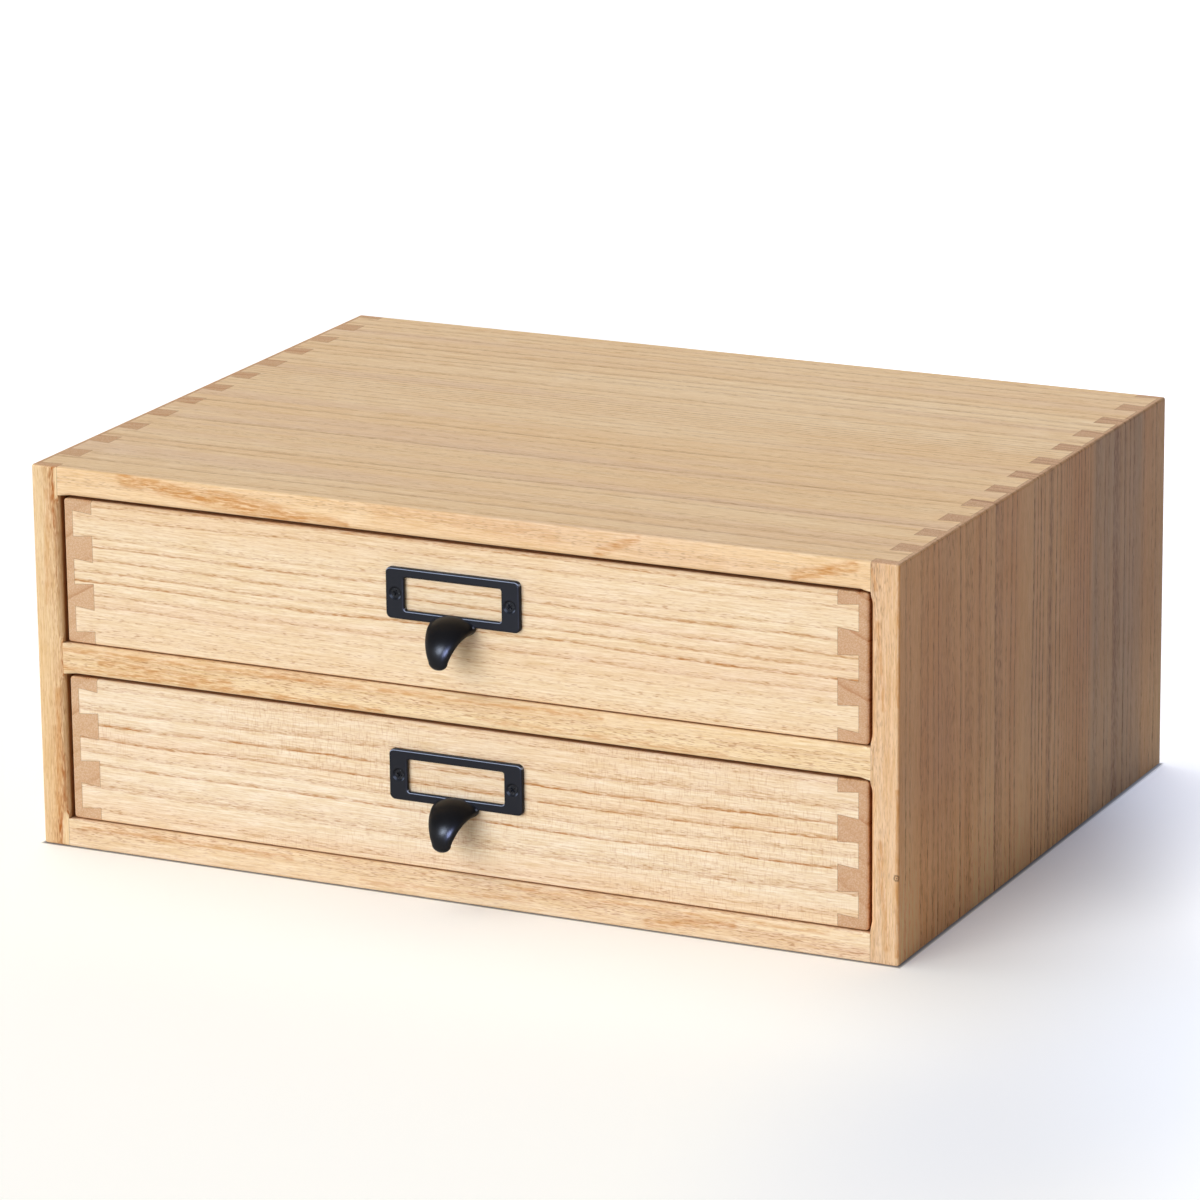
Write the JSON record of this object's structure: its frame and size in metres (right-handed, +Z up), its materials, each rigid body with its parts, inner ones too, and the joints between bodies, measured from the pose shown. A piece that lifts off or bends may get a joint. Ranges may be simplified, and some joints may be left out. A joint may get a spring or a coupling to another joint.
{
  "type": "desktop drawer organizer",
  "caption": "Low wooden desk chest with dovetailed corners and two stacked drawers, each with a dark label-holder pull and finger hook.",
  "frame": {"origin": "middle of the carcass underside, on the surface that the organizer stands on", "axes": "+X to the right along the width, +Y to the back, +Z up; the drawers open towards -Y"},
  "size_m": [0.355, 0.2803, 0.15],
  "materials": {
    "carcass_top": "sanded tan softwood, grain along the width",
    "carcass_bottom": "sanded pale softwood, grain along the width",
    "carcass_side_left": "sanded pale softwood, upright grain",
    "carcass_side_right": "sanded pale softwood, upright grain",
    "divider_rail": "sanded pale softwood",
    "runners": "planed pale softwood",
    "back_panel": "thin planed panel",
    "lower_front": "sanded cream softwood with wavy brown lines",
    "upper_front": "sanded cream softwood with wavy brown lines",
    "drawer_sides": "planed pale softwood",
    "drawer_backs": "planed pale softwood",
    "drawer_bottoms": "thin planed panel",
    "pulls": "satin black lacquer",
    "screws": "blackened steel"
  },
  "bodies": {
    "carcass": {"carcass_top": "carcass_top", "carcass_bottom": "carcass_bottom", "carcass_side_left": "carcass_side_left", "carcass_side_right": "carcass_side_right", "divider_rail": "divider_rail", "runner_left": "runners", "runner_right": "runners", "carcass_back_panel": "back_panel"},
    "drawer_lower": {"lower_drawer_front": "lower_front", "lower_drawer_back": "drawer_backs", "lower_drawer_side_left": "drawer_sides", "lower_drawer_side_right": "drawer_sides", "lower_drawer_bottom": "drawer_bottoms", "lower_pull": "pulls", "lower_pull_screws": "screws"},
    "drawer_upper": {"upper_drawer_front": "upper_front", "upper_drawer_back": "drawer_backs", "upper_drawer_side_left": "drawer_sides", "upper_drawer_side_right": "drawer_sides", "upper_drawer_bottom": "drawer_bottoms", "upper_pull": "pulls", "upper_pull_screws": "screws"}
  },
  "joints": [
    {"name": "lower_drawer_slide", "type": "slide", "parent": "carcass", "child": "drawer_lower", "axis": [0, -1, 0], "range_m": [0, 0.2]},
    {"name": "upper_drawer_slide", "type": "slide", "parent": "carcass", "child": "drawer_upper", "axis": [0, -1, 0], "range_m": [0, 0.2]}
  ]
}
